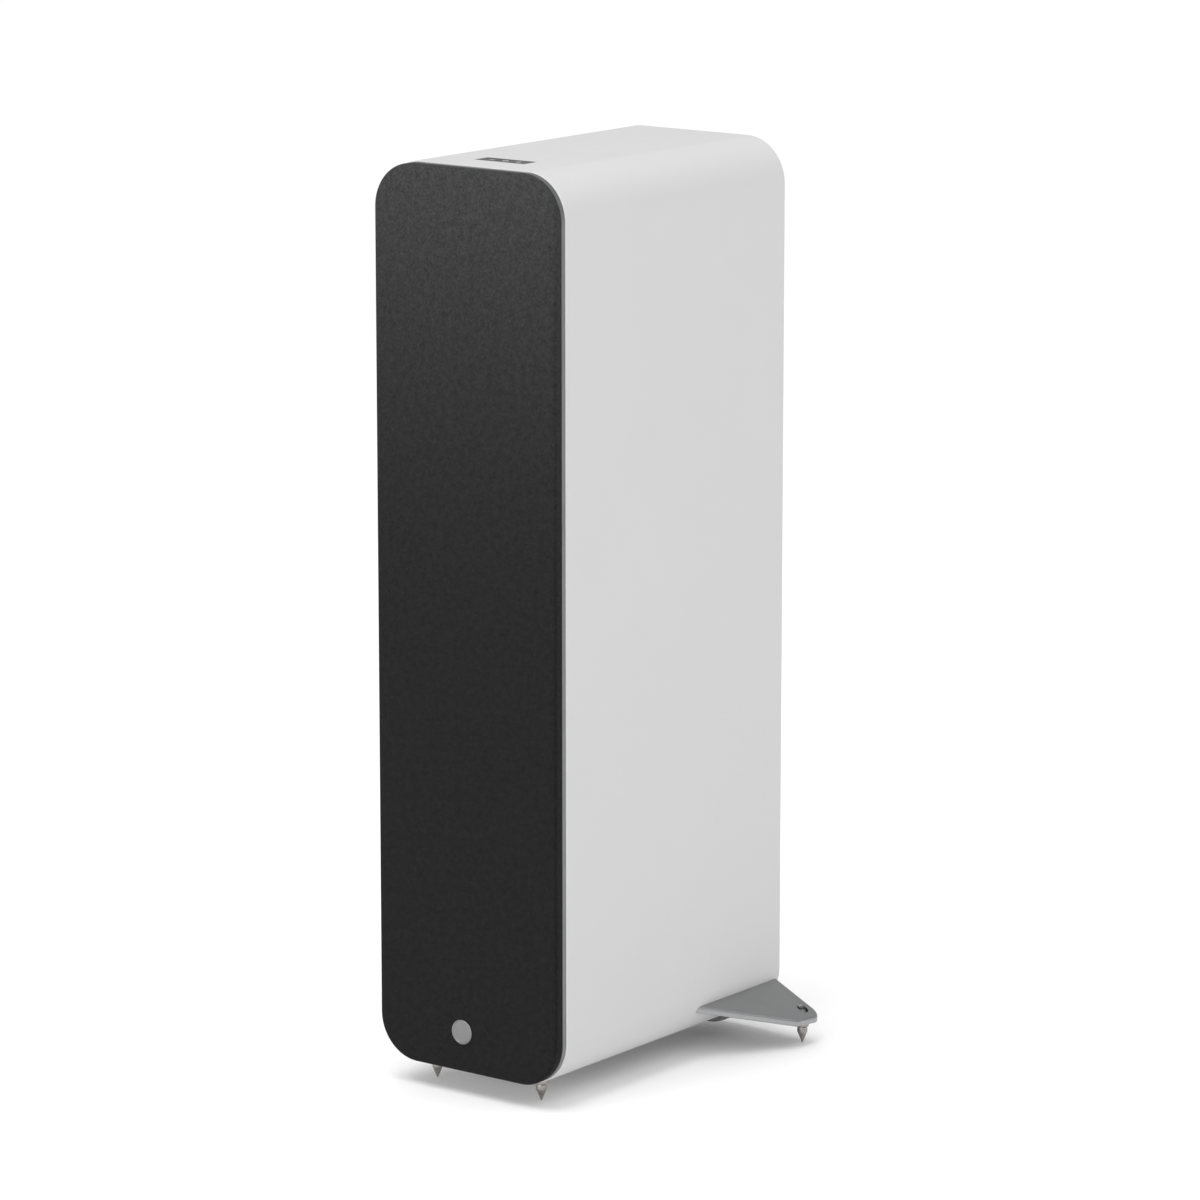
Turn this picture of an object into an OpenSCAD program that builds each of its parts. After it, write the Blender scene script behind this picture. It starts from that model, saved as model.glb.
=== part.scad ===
// Compact powered floorstanding speaker: wrapped wooden sleeve on four spikes,
// two woofers around a dome tweeter, pull-off cloth grille, rear amplifier.
// Millimetres. +Z is up, the front faces -Y, and the spike tips stand on z = 0
// around the middle of the whole object.

/* [Cabinet] */
// Outside width of the wooden sleeve
cabinet_w = 170; // [160:1:190]
// Height of the top face above the floor
cabinet_top = 702; // [700:1:740]
// Height of the underside above the floor
cabinet_bottom = 17.5; // [17:0.5:20]
// Depth of the sleeve, front edge to back edge
cabinet_d = 273; // [266:1:300]
// Wall thickness of the sleeve
wall = 15; // [13:0.5:15]
// Outside radius of the sleeve's four long corners
corner_r = 35; // [30:1:38]

/* [Front] */
// Thickness of the grille with its cloth
grille_t = 8; // [7.5:0.5:10]
// Depth of the pale trim band behind the grille
trim_t = 4; // [3:0.5:6]
// How far the grille and trim stand in from the sleeve's outside
front_inset = 0.8; // [0.5:0.1:2]
// Thickness of the baffle board with the trim band
baffle_t = 18; // [18:1:22]
// Rim width of the grille frame
grille_rim = 17; // [15:1:18]

/* [Drivers] */
// Height of the upper woofer's axis
upper_woofer_z = 617; // [612:1:617]
// Height of the tweeter's axis
tweeter_z = 514; // [512:1:516]
// Height of the lower woofer's axis
lower_woofer_z = 411; // [406:1:411]
// Diameter of the badge on the grille
badge_d = 19; // [12:1:24]
// How far the badge stands out from the grille
badge_t = 0.8; // [0.4:0.2:2]

/* [Rear] */
// How far the terminals stand behind the sleeve
terminal_reach = 11; // [11:1:16]
// Height of the reflex port's axis
port_z = 560; // [540:1:575]
// Inside radius of the reflex port
port_r = 25; // [22:1:27]
// Length of the reflex port tube
port_len = 120; // [90:5:130]
// Height of the amplifier panel's centre
panel_mid_z = 330; // [326:1:334]

/* [Stabilisers and spikes] */
// Half of the spacing between the front spikes
front_spike_x = 50; // [40:1:52]
// Distance of the front spikes behind the grille's face
front_spike_in = 26; // [22:1:30]
// Half of the spacing between the rear spikes
rear_spike_x = 116.5; // [112:0.5:118]
// Distance of the rear spikes behind the grille's face
rear_spike_in = 271; // [268:1:273]
// Height at which the wing's top leaves the sleeve's side
wing_root_z = 43; // [42:0.5:45]
// Downward slope of the wing, in degrees
wing_slope = 26.7; // [25:0.1:28]
// Thickness of the wing, measured upright
wing_t = 5.5; // [4:0.5:7]

/* [Hidden] */
$fn = 64;
slack = 0.1;                 // gap around boards that slide into the sleeve
running = 0.05;              // radial gap between a stud and its thread

total_d = badge_t + grille_t + trim_t + cabinet_d + terminal_reach;
front_y = badge_t - total_d / 2;        // face of the grille
baffle_y = front_y + grille_t;          // face of the baffle and of the trim band
sleeve_y = baffle_y + trim_t;           // front edge of the sleeve
back_y = sleeve_y + cabinet_d;          // back edge of the sleeve
cabinet_h = cabinet_top - cabinet_bottom;
mid_z = cabinet_bottom + cabinet_h / 2;
inner_w = cabinet_w - 2 * wall;
inner_h = cabinet_h - 2 * wall;
inner_r = corner_r - wall;

// Boards
rear_board_t = 16;
rear_board_y = back_y - rear_board_t;
baffle_back_y = baffle_y + baffle_t;
brace_t = 12;
brace_zs = [472, 196, 108];

// Grille
cloth_t = 0.8;
grille_w = cabinet_w - 2 * front_inset;
grille_h = cabinet_h - 2 * front_inset;
grille_r = corner_r - front_inset;
window_w = grille_w - 2 * grille_rim;
window_zs = [[306, cabinet_top - 18.5], [164, 294], [cabinet_bottom + 20, 152]];
magnet_r = 5;
magnet_t = 3;
magnet_x = 63;
magnet_zs = [56, 300, 514, 664];
badge_x = -5;                            // a little to the left of the middle
badge_z = cabinet_bottom + 32;

// Woofer, in its own frame: z = 0 is the baffle's face and +z is forward
flange_r = 66;
flange_t = 4;
woofer_hole_r = 57;
ledge_r = 57.5;
ledge_z = -3;
roll_mid_r = 50.3;
roll_a = 4.3;
roll_b = 3.6;
roll_t = 0.8;
rim_r = 46.2;
rim_z = -5.4;
neck_r = 13.1;
neck_z = -26;
cone_t = 1;
cap_r = 17;
cap_rise = 6;
former_r = 13.1;
pole_r = 11.9;
gap_r = 14.2;
basket_back_z = -46;
ring_magnet_r = 40;
spider_r = 42.3;
spider_z = -33.2;
woofer_screw_r = 61.8;

// Tweeter, in the same kind of frame
tweeter_flange_r = 36;
tweeter_hole_r = 29;
dome_r = 11;
dome_rise = 4;
dome_z = -5.6;
tweeter_screw_r = 31;

// Control panel on the top face
pad_w = 46;
pad_d = 16;
pad_y = front_y + 50;
pad_t = 5;
pad_pitch = 12.3;
pad_hole = [10.6, 9];
board_gap = 0.3;

// Amplifier panel
panel_w = 118;
panel_h = 230;
panel_t = 2.5;
panel_face_y = back_y + panel_t;
cutout_w = 100;
cutout_h = 212;
jack_z = panel_mid_z + 56;
switch_z = panel_mid_z + 94;
cup_z = panel_mid_z - 10;
cup_w = 58;
cup_h = 36;
cup_floor_y = back_y - 11;
post_x = 9.5;
inlet_z = panel_mid_z - 76;
inlet_x = -9;
rocker_x = 21;
rocker_tilt = 8;
chamber_y = rear_board_y - 76;
chamber_wall = 8;

// Spikes
cone_h = 9;
collar_r = 4;
collar_top = 13.2;
stud_r = 2.95;
thread_r = stud_r + running;
nut_z = 13.5;
front_spike_y = front_y + front_spike_in;
rear_spike_y = front_y + rear_spike_in;
boss_z = cabinet_bottom;
boss_r = 7.5;
flange_bolt_x = 38;
flange_bolt_ys = [front_y + 236, front_y + 262];

// ---------------------------------------------------------------- helpers

// Extrudes a flat outline, drawn as (x, z), from y0 to y1.
module along_y(y0, y1) {
    translate([0, y1, 0]) rotate([90, 0, 0]) linear_extrude(y1 - y0) children();
}

// Stands children up to face forward: their +z points to -Y.
module facing_front(z, x = 0) {
    translate([x, baffle_y, z]) rotate([90, 0, 0]) children();
}

// Stands children up to face backward from the plane y: their +z points to +Y.
module facing_back(x, y, z) {
    translate([x, y, z]) rotate([-90, 0, 0]) children();
}

module rounded_rect(w, h, r) {
    square([w - 2 * r, h], center = true);
    square([w, h - 2 * r], center = true);
    for (sx = [-1, 1], sy = [-1, 1])
        translate([sx * (w / 2 - r), sy * (h / 2 - r)]) circle(r);
}

// A rounded slab in the XZ plane, centred at height z.
module slab(w, h, r, y0, y1, z) {
    along_y(y0, y1) translate([0, z]) rounded_rect(w, h, r);
}

module box(x0, x1, y0, y1, z0, z1) {
    translate([x0, y0, z0]) cube([x1 - x0, y1 - y0, z1 - z0]);
}

module tube(r_out, r_in, z0, z1) {
    translate([0, 0, z0]) difference() {
        cylinder(r = r_out, h = z1 - z0);
        translate([0, 0, -1]) cylinder(r = r_in, h = z1 - z0 + 2);
    }
}

module disc(r, z0, z1) {
    translate([0, 0, z0]) cylinder(r = r, h = z1 - z0);
}

// A round wire through a list of points.
module wire(points, r) {
    for (i = [0 : len(points) - 2]) {
        step = points[i + 1] - points[i];
        translate(points[i])
            rotate([0, acos(step[2] / norm(step)), atan2(step[1], step[0])])
                cylinder(r = r, h = norm(step), $fn = 16);
    }
    for (p = points) translate(p) sphere(r = r, $fn = 16);
}

module mirrored_pair() {
    for (side = [0, 1]) mirror([side, 0, 0]) children();
}

// ---------------------------------------------------------------- cabinet

module control_pocket() {
    translate([0, pad_y, 0]) {
        box(-pad_w / 2 - slack, pad_w / 2 + slack, -pad_d / 2 - slack, pad_d / 2 + slack,
            cabinet_top - pad_t, cabinet_top + 1);
        box(-pad_w / 2 + 2, pad_w / 2 - 2, -pad_d / 2 + 2, pad_d / 2 - 2,
            cabinet_top - wall - 1, cabinet_top);
    }
}

module underside_holes() {
    for (x = [-front_spike_x, front_spike_x])
        translate([x, front_spike_y, 0]) disc(5, cabinet_bottom - 1, cabinet_bottom + wall + 1);
    for (x = [-flange_bolt_x, flange_bolt_x], y = flange_bolt_ys)
        translate([x, y, 0]) disc(4.5, cabinet_bottom - 1, cabinet_bottom + wall + 1);
}

module cabinet() color("whitesmoke") difference() {
    slab(cabinet_w, cabinet_h, corner_r, sleeve_y, back_y, mid_z);
    slab(inner_w, inner_h, inner_r, sleeve_y - 1, back_y + 1, mid_z);
    control_pocket();
    underside_holes();
}

module front_trim() color("silver") difference() {
    slab(grille_w, grille_h, grille_r, baffle_y, sleeve_y, mid_z);
    slab(inner_w, inner_h, inner_r, baffle_y - 1, sleeve_y + 1, mid_z);
}

module woofer_recess(z) facing_front(z) {
    disc(flange_r + 0.2, -flange_t, 1);
    disc(woofer_hole_r, -baffle_t - 1, 1);
    for (a = [45 : 90 : 315]) rotate(a) translate([woofer_screw_r, 0, 0]) disc(2, -14, 0);
}

module front_baffle() color("dimgray") difference() {
    slab(inner_w - 2 * slack, inner_h - 2 * slack, inner_r - slack,
         baffle_y, baffle_back_y, mid_z);
    woofer_recess(upper_woofer_z);
    woofer_recess(lower_woofer_z);
    facing_front(tweeter_z) {
        disc(tweeter_flange_r + 0.2, -3, 1);
        disc(tweeter_hole_r, -baffle_t - 1, 1);
        for (a = [90 : 120 : 330]) rotate(a) translate([tweeter_screw_r + 1.5, 0, 0]) disc(1.6, -12, 0);
    }
    for (x = [-magnet_x, magnet_x], z = magnet_zs)
        facing_front(z, x) disc(magnet_r, -magnet_t, 1);
}

module rear_board() color("dimgray") difference() {
    slab(inner_w - 2 * slack, inner_h - 2 * slack, inner_r - slack,
         rear_board_y, back_y, mid_z);
    slab(cutout_w, cutout_h, 3, rear_board_y - 1, back_y + 1, panel_mid_z);
    facing_back(0, 0, port_z) disc(port_r + 11.2, rear_board_y - 1, back_y + 1);
    panel_screws_at() disc(1.5, back_y - 10, back_y + 1);
    port_screws_at() disc(1.5, back_y - 10, back_y + 1);
}

module braces() color("burlywood") for (z = brace_zs) difference() {
    box(-inner_w / 2 + slack, inner_w / 2 - slack,
        baffle_back_y + slack, rear_board_y - slack, z, z + brace_t);
    for (x = [-31, 31], y = [-78, 0, 78])
        translate([x, y, 0]) disc(25, z - 1, z + brace_t + 1);
}

module damping_wadding() color("gainsboro") {
    box(-62, 62, -112, 112, cabinet_bottom + wall + 6, cabinet_bottom + wall + 46);
    box(-62, 62, rear_board_y - 24, rear_board_y - 3, port_z + 46, cabinet_top - wall - 6);
}

module port_tube() {
    flare = 9;
    inner_y = back_y + 2.5;
    rotate_extrude() polygon(concat(
        [[port_r + 2.5, inner_y - port_len], [port_r, inner_y - port_len]],
        [for (a = [0 : 15 : 90])
            [port_r + flare - flare * cos(a), inner_y - 12 + 12 * sin(a)]],
        [[port_r + 16, inner_y], [port_r + 16, back_y]],
        [[port_r + 11, back_y], [port_r + 2.5, back_y - 12]]
    ));
}

module reflex_port() color("black") difference() {
    facing_back(0, 0, port_z) port_tube();
    port_screws_at() disc(1.6, back_y - 1, back_y + 4);
}

module amp_chamber() color("burlywood") difference() {
    box(-62, 62, chamber_y, rear_board_y, panel_mid_z - 116, panel_mid_z + 116);
    box(-62 + chamber_wall, 62 - chamber_wall, chamber_y + chamber_wall, rear_board_y + 1,
        panel_mid_z - 116 + chamber_wall, panel_mid_z + 116 - chamber_wall);
}

// ---------------------------------------------------------------- woofers

module woofer_basket() color("darkslategray") difference() {
    rotate_extrude() polygon([
        [flange_r, 0], [flange_r, -flange_t], [55.5, -flange_t], [55.5, -8], [45, -34],
        [41, -38], [41, basket_back_z], [19, basket_back_z], [19, -43.5], [38.5, -43.5],
        [38.5, -34], [42.5, -34], [42.5, -32], [53, -7.5], [53, ledge_z],
        [ledge_r, ledge_z], [ledge_r, 0]
    ]);
    for (a = [0 : 60 : 300]) rotate(a) translate([40, -11, -31]) cube([30, 22, 21]);
    for (a = [45 : 90 : 315]) rotate(a) translate([woofer_screw_r, 0, 0]) {
        disc(3.6, -2.4, 1);
        disc(2.1, -flange_t - 1, 1);
    }
}

module woofer_magnet() color("dimgray") {
    tube(36, gap_r, basket_back_z - 5, basket_back_z);
    tube(ring_magnet_r, 20, basket_back_z - 19, basket_back_z - 5);
    disc(36, basket_back_z - 24, basket_back_z - 19);
    disc(pole_r, basket_back_z - 19, basket_back_z + 1.5);
}

function roll_point(a, grow) = [
    roll_mid_r + (roll_a + grow) * cos(a),
    ledge_z + 0.4 + (roll_b + grow) * sin(a)
];

module woofer_surround() color("black") rotate_extrude() polygon(concat(
    [[ledge_r - 0.1, ledge_z], [ledge_r - 0.1, ledge_z + roll_t]],
    [for (a = [0 : 15 : 180]) roll_point(a, roll_t / 2)],
    [[roll_mid_r - roll_a - 0.4, rim_z + roll_t], [43.4, rim_z + roll_t], [43.4, rim_z],
     [roll_mid_r - roll_a + 0.4, rim_z]],
    [for (a = [180 : -15 : 0]) roll_point(a, -roll_t / 2)],
    [[roll_mid_r + roll_a - 0.4, ledge_z]]
));

function cone_z(r) = neck_z + (rim_z - neck_z) * pow((r - neck_r) / (43 - neck_r), 0.85);

module woofer_cone() color("gainsboro") {
    steps = 8;
    radii = [for (i = [0 : steps]) neck_r + (43 - neck_r) * i / steps];
    rotate_extrude() polygon(concat(
        [for (r = radii) [r, cone_z(r)]],
        [[rim_r, rim_z], [rim_r, rim_z - cone_t]],
        [for (i = [steps : -1 : 0]) [radii[i], cone_z(radii[i]) - 1.3 * cone_t]]
    ));
}

module woofer_dust_cap() color("gainsboro") {
    cap_z = cone_z(cap_r);
    sphere_r = (cap_r * cap_r + cap_rise * cap_rise) / (2 * cap_rise);
    half = asin(cap_r / sphere_r);
    rotate_extrude() polygon(concat(
        [for (i = [0 : 8]) let (a = half * i / 8)
            [sphere_r * sin(a), cap_z + cap_rise - sphere_r * (1 - cos(a)) + 0.9]],
        [for (i = [8 : -1 : 0]) let (a = half * i / 8)
            [sphere_r * sin(a), cap_z + cap_rise - sphere_r * (1 - cos(a)) + 0.1]]
    ));
}

module woofer_voice_coil() {
    color("tan") tube(former_r, former_r - 0.6, basket_back_z - 8, neck_z + 1.5);
    color("darkgoldenrod") tube(former_r + 0.5, former_r, basket_back_z - 7, basket_back_z + 2);
}

spider_steps = 40;

function ripple(i) =
    i < 3 || i > spider_steps - 4 ? 0 : 0.9 * sin(1800 * i / spider_steps);

function spider_point(i, dz) = [
    former_r + (spider_r - former_r) * i / spider_steps,
    spider_z + ripple(i) + dz
];

module woofer_spider() color("goldenrod") rotate_extrude() polygon(concat(
    [for (i = [0 : spider_steps]) spider_point(i, 0)],
    [for (i = [spider_steps : -1 : 0]) spider_point(i, -0.6)]
));

module tweeter_plate() color("black") difference() {
    rotate_extrude() polygon([
        [tweeter_flange_r, 0], [tweeter_flange_r, -3], [28.5, -3], [28.5, -6],
        [14, -6], [14, -4.6], [17, -2.6], [20.5, -1], [25, 0]
    ]);
    for (a = [90 : 120 : 330]) rotate(a) translate([tweeter_screw_r + 1.5, 0, 0]) {
        translate([0, 0, -1.8]) cylinder(r1 = 1.7, r2 = 3, h = 1.9);
        disc(1.7, -7, 0);
    }
}

module tweeter_dome() color("slategray") {
    sphere_r = (dome_r * dome_r + dome_rise * dome_rise) / (2 * dome_rise);
    half = asin(dome_r / sphere_r);
    t = 0.35;
    rotate_extrude() polygon(concat(
        [for (i = [0 : 8]) let (a = half * i / 8)
            [sphere_r * sin(a), dome_z + dome_rise - sphere_r * (1 - cos(a)) + t]],
        [for (a = [180 : -30 : 0]) [12.2 + 0.9 * cos(a), dome_z + t + 0.8 * sin(a)]],
        [[13.4, dome_z + t], [13.4, dome_z], [dome_r, dome_z], [dome_r, -11],
         [dome_r - 0.4, -11], [dome_r - 0.4, dome_z]],
        [for (i = [7 : -1 : 0]) let (a = half * i / 8)
            [sphere_r * sin(a), dome_z + dome_rise - sphere_r * (1 - cos(a)) - 0.1]]
    ));
}

module tweeter_magnet() color("dimgray") {
    tube(28, dome_r + 0.8, -9.2, -6.2);
    tube(26, 15, -18, -9.2);
    disc(28, -21, -18);
    disc(9.8, -18, -6.6);
}

// ---------------------------------------------------------------- grille

module grille_frame() color("black") difference() {
    union() {
        difference() {
            slab(grille_w - 2 * cloth_t, grille_h - 2 * cloth_t, grille_r - cloth_t,
                 front_y + cloth_t, baffle_y - 0.2, mid_z);
            for (span = window_zs)
                slab(window_w, span[1] - span[0], 12, front_y, baffle_y + 1,
                     (span[0] + span[1]) / 2);
        }
        for (x = [-magnet_x, magnet_x], z = magnet_zs)
            facing_front(z, x) disc(8, 0.2, grille_t - cloth_t - 2);
    }
    for (x = [-magnet_x, magnet_x], z = magnet_zs)
        facing_front(z, x) disc(magnet_r, -1, magnet_t + 0.2);
}

module grille_cloth() color("darkslategray") {
    slab(grille_w, grille_h, grille_r, front_y, front_y + cloth_t, mid_z);
}

module badge() color("silver") facing_front(badge_z, badge_x) {
    disc(badge_d / 2, grille_t, grille_t + badge_t);
}

module grille_magnets() color("gray") {
    for (x = [-magnet_x, magnet_x], z = magnet_zs)
        facing_front(z, x) disc(magnet_r, 0.2, magnet_t + 0.2);
}

module baffle_magnets() color("gray") {
    for (x = [-magnet_x, magnet_x], z = magnet_zs)
        facing_front(z, x) disc(magnet_r, -magnet_t, 0);
}

// ---------------------------------------------------------------- top controls

module control_panel() color("dimgray") translate([0, pad_y, 0]) difference() {
    box(-pad_w / 2, pad_w / 2, -pad_d / 2, pad_d / 2, cabinet_top - pad_t, cabinet_top);
    box(-pad_w / 2 + 2, pad_w / 2 - 2, -pad_d / 2 + 2, pad_d / 2 - 2,
        cabinet_top - pad_t - 1, cabinet_top - 2.2);
    for (i = [-1 : 1]) translate([i * pad_pitch, 0, 0])
        box(-pad_hole[0] / 2, pad_hole[0] / 2, -pad_hole[1] / 2, pad_hole[1] / 2,
            cabinet_top - 3, cabinet_top + 1);
    translate([pad_w / 2 - 3, 0, 0]) disc(0.9, cabinet_top - 3, cabinet_top + 1);
}

module key(i) color("darkslategray") translate([i * pad_pitch, pad_y, 0]) {
    cap = pad_hole / 2 - [0.2, 0.2];
    lip = cap + [0.6, 0.6];
    box(-cap[0], cap[0], -cap[1], cap[1], cabinet_top - 3, cabinet_top - 0.1);
    box(-lip[0], lip[0], -lip[1], lip[1], cabinet_top - 3.2, cabinet_top - 2.4);
    disc(1.5, cabinet_top - 4.2, cabinet_top - 3);
}

module status_lens() color("white") translate([pad_w / 2 - 3, pad_y, 0])
    disc(0.85, cabinet_top - 4.6, cabinet_top - 0.1);

module control_board() translate([0, pad_y, 0]) {
    top = cabinet_top - 8.4;
    color("green") box(-pad_w / 2 + 2 + board_gap, pad_w / 2 - 2 - board_gap,
                       -pad_d / 2 + 2 + board_gap, pad_d / 2 - 2 - board_gap, top - 1.6, top);
    color("silver") for (i = [-1 : 1]) translate([i * pad_pitch, 0, 0]) {
        box(-3, 3, -3, 3, top, top + 2.2);
        disc(1.6, top + 2.2, top + 3.2);
    }
    color("white") translate([pad_w / 2 - 3, 0, 0]) box(-0.6, 0.6, -1, 1, top, top + 1.2);
}

// ---------------------------------------------------------------- amplifier panel

module panel_screws_at() {
    for (x = [-54.8, 54.8], z = [-108, -38, 38, 108])
        facing_back(x, 0, panel_mid_z + z) children();
}

module port_screws_at() {
    for (a = [45 : 90 : 315])
        facing_back((port_r + 13) * cos(a), 0, port_z + (port_r + 13) * sin(a)) children();
}

module amp_panel() color("black") difference() {
    union() {
        slab(panel_w, panel_h, 6, back_y, panel_face_y, panel_mid_z);
        slab(cup_w + 4, cup_h + 4, 7, cup_floor_y - 2, back_y + 1, cup_z);
    }
    slab(cup_w, cup_h, 5, cup_floor_y, panel_face_y + 1, cup_z);
    for (x = [-post_x, post_x]) facing_back(x, 0, cup_z) disc(3.6, cup_floor_y - 3, back_y);
    for (x = [-36, -18]) facing_back(x, 0, jack_z) disc(4.4, back_y - 1, panel_face_y + 1);
    facing_back(4, 0, jack_z) disc(3.2, back_y - 1, panel_face_y + 1);
    box(28, 40, back_y - 1, panel_face_y + 1, jack_z - 6, jack_z + 6);
    facing_back(-32, 0, switch_z) disc(3.2, back_y - 1, panel_face_y + 1);
    box(-5.2, 5.2, back_y - 1, panel_face_y + 1, switch_z - 2.2, switch_z + 2.2);
    box(27.4, 36.6, back_y - 1, panel_face_y + 1, switch_z - 2.2, switch_z + 2.2);
    box(inlet_x - 17, rocker_x + 10, back_y - 1, panel_face_y + 1, inlet_z - 13, inlet_z + 13);
    panel_screws_at() disc(1.7, back_y - 1, panel_face_y + 1);
}

module inlet_cavity(y0, y1) along_y(y0, y1) translate([inlet_x, inlet_z]) polygon([
    [-12, 8.3], [-12, -3.8], [-7.5, -8.3], [7.5, -8.3], [12, -3.8], [12, 8.3]
]);

module mains_inlet() {
    flange_y = panel_face_y + 2;
    color("black") difference() {
        union() {
            box(inlet_x - 16.9, rocker_x + 9.9, back_y - 15, panel_face_y,
                inlet_z - 12.9, inlet_z + 12.9);
            along_y(panel_face_y, flange_y)
                translate([(inlet_x + rocker_x) / 2 - 3.5, inlet_z]) rounded_rect(62, 31, 3);
        }
        inlet_cavity(back_y - 13, flange_y + 1);
        box(rocker_x - 6.6, rocker_x + 6.6, back_y - 8, flange_y + 1,
            inlet_z - 10, inlet_z + 10);
        rocker_pivot(1.05, 7.8);
    }
    color("silver") for (pin = [[-7, -1.5], [0, 2.5], [7, -1.5]])
        translate([inlet_x + pin[0], 0, inlet_z + pin[1]])
            box(-1, 1, back_y - 20, flange_y - 2, -2, 2);
}

// Seen from the side, the rocker's face is a shallow V, one half pressed in.
module power_rocker() color("dimgray") {
    translate([rocker_x - 6.2, panel_face_y, inlet_z]) rotate([rocker_tilt, 0, 0])
        rotate([90, 0, 90]) linear_extrude(12.4) polygon([
            [-5, -6], [0, -9], [2.2 + 9 * tan(rocker_tilt), -9], [2.2, 0],
            [2.2 + 9 * tan(rocker_tilt), 9], [0, 9], [-5, 6]
        ]);
    rocker_pivot(1, 7.6);
}

module rocker_pivot(r, half) translate([rocker_x - half, panel_face_y, inlet_z])
    rotate([0, 90, 0]) cylinder(r = r, h = 2 * half);

module line_jacks() {
    for (x = [-36, -18]) facing_back(x, 0, jack_z) {
        color("silver") tube(4.15, 3.5, back_y - 9, back_y + terminal_reach);
        color("silver") tube(6, 4.15, panel_face_y, panel_face_y + 1.2);
        color("white") tube(3.5, 1.7, back_y - 9, panel_face_y + 1);
    }
    facing_back(4, 0, jack_z) {
        color("silver") tube(3.1, 1.8, back_y - 11, panel_face_y + 2);
        color("silver") tube(5, 3.1, panel_face_y, panel_face_y + 1.4);
    }
}

module optical_socket() {
    color("black") difference() {
        union() {
            box(28.1, 39.9, back_y - 12, panel_face_y, jack_z - 5.9, jack_z + 5.9);
            box(27, 41, panel_face_y, panel_face_y + 1.2, jack_z - 7, jack_z + 7);
        }
        box(30, 38, back_y - 8, panel_face_y + 2, jack_z - 4, jack_z + 4);
    }
    color("darkred") facing_back(34, 0, jack_z) disc(1.5, back_y - 8, back_y - 4);
}

module pairing_button() color("gray") facing_back(-32, 0, switch_z) {
    disc(2.9, back_y - 1, panel_face_y + 1.4);
    disc(3.8, back_y - 1.8, back_y - 0.2);
}

module slider(x) color("white") {
    box(x - 1.8, x + 1.8, back_y - 1.5, panel_face_y + 1, switch_z - 1.8, switch_z + 1.8);
}

module post_bases() for (x = [-post_x, post_x]) facing_back(x, 0, cup_z) {
    color("black") tube(7, 2.8, cup_floor_y, cup_floor_y + 3);
    color("gold") difference() {
        disc(2.8, cup_floor_y - 10, back_y + terminal_reach - 1.5);
        disc(2, back_y + terminal_reach - 17, back_y + terminal_reach);
    }
    color("gold") tube(5.5, 2.8, cup_floor_y - 4.5, cup_floor_y - 2);
}

module post_nut(x) color("gold") facing_back(x, 0, cup_z)
    tube(4.4, 2.8 + running, cup_floor_y + 4, cup_floor_y + 12);

module post_cap(x, tint) color(tint) facing_back(x, 0, cup_z) difference() {
    translate([0, 0, cup_floor_y + 3.4]) linear_extrude(back_y + terminal_reach - cup_floor_y - 3.4)
        polygon([for (i = [0 : 47]) let (r = i % 2 == 0 ? 7 : 6.6) r * [cos(i * 7.5), sin(i * 7.5)]]);
    disc(4.4 + running, cup_floor_y + 3, cup_floor_y + 13);
    disc(3, cup_floor_y, back_y + terminal_reach + 1);
}

// ---------------------------------------------------------------- electronics

module amp_board() {
    y = back_y - 14.4;
    color("darkgreen") box(-45, 45, y - 1.6, y, jack_z - 26, jack_z + 44);
    color("black") {
        box(-42, -12, y, back_y - 9.2, jack_z - 6, jack_z + 6);
        box(-1, 9, y, back_y - 11.2, jack_z - 5, jack_z + 5);
        box(-7, 7, y, back_y - 2, switch_z - 4, switch_z + 4);
        box(25, 39, y, back_y - 2, switch_z - 4, switch_z + 4);
        box(-35, -29, y, back_y - 3, switch_z - 3, switch_z + 3);
    }
    for (x = [-30, -10, 10, 30]) facing_front(jack_z - 12, x)
        color("dimgray") disc(7, baffle_y - y + 1.6, baffle_y - y + 13);
    color("silver") box(-20, 20, y - 13, y - 1.6, jack_z + 8, jack_z + 36);
}

module power_supply() {
    y = chamber_y + 44;
    z0 = panel_mid_z - 100;
    color("darkgreen") box(-44, 44, y, y + 1.6, z0, z0 + 112);
    color("gold") box(-24, 14, y - 30, y, z0 + 38, z0 + 74);
    color("black") {
        box(-30, 20, y - 22, y, z0 + 44, z0 + 68);
        for (x = [-26, 0, 26]) facing_front(z0 + 92, x) disc(9, baffle_y - y, baffle_y - y + 28);
        box(26, 40, y - 20, y, z0 + 10, z0 + 30);
    }
    color("silver") box(-40, -10, y - 26, y, z0 + 8, z0 + 26);
}

module wiring() {
    exit_y = chamber_y - 1.3;
    r = 1.1;
    color("red") wire([[40, exit_y, 420], [46, 20, 424], [50, -40, 420],
                       [43.5, -98, lower_woofer_z]], r);
    color("black") wire([[34, exit_y, 430], [44, 8, 440], [44, 4, 500], [30, -60, 512],
                         [16, -117.4, tweeter_z]], r);
    color("red") wire([[28, exit_y, 436], [38, 12, 444], [38, 10, 520], [50, -40, 600],
                       [43.5, -98, upper_woofer_z]], r);
    color("gray") wire([[-34, exit_y, 436], [-44, 8, 444], [-44, 0, 560], [-40, -30, 650],
                        [-12, -90, 680], [-10, pad_y, cabinet_top - 11.5]], r);
}

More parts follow.
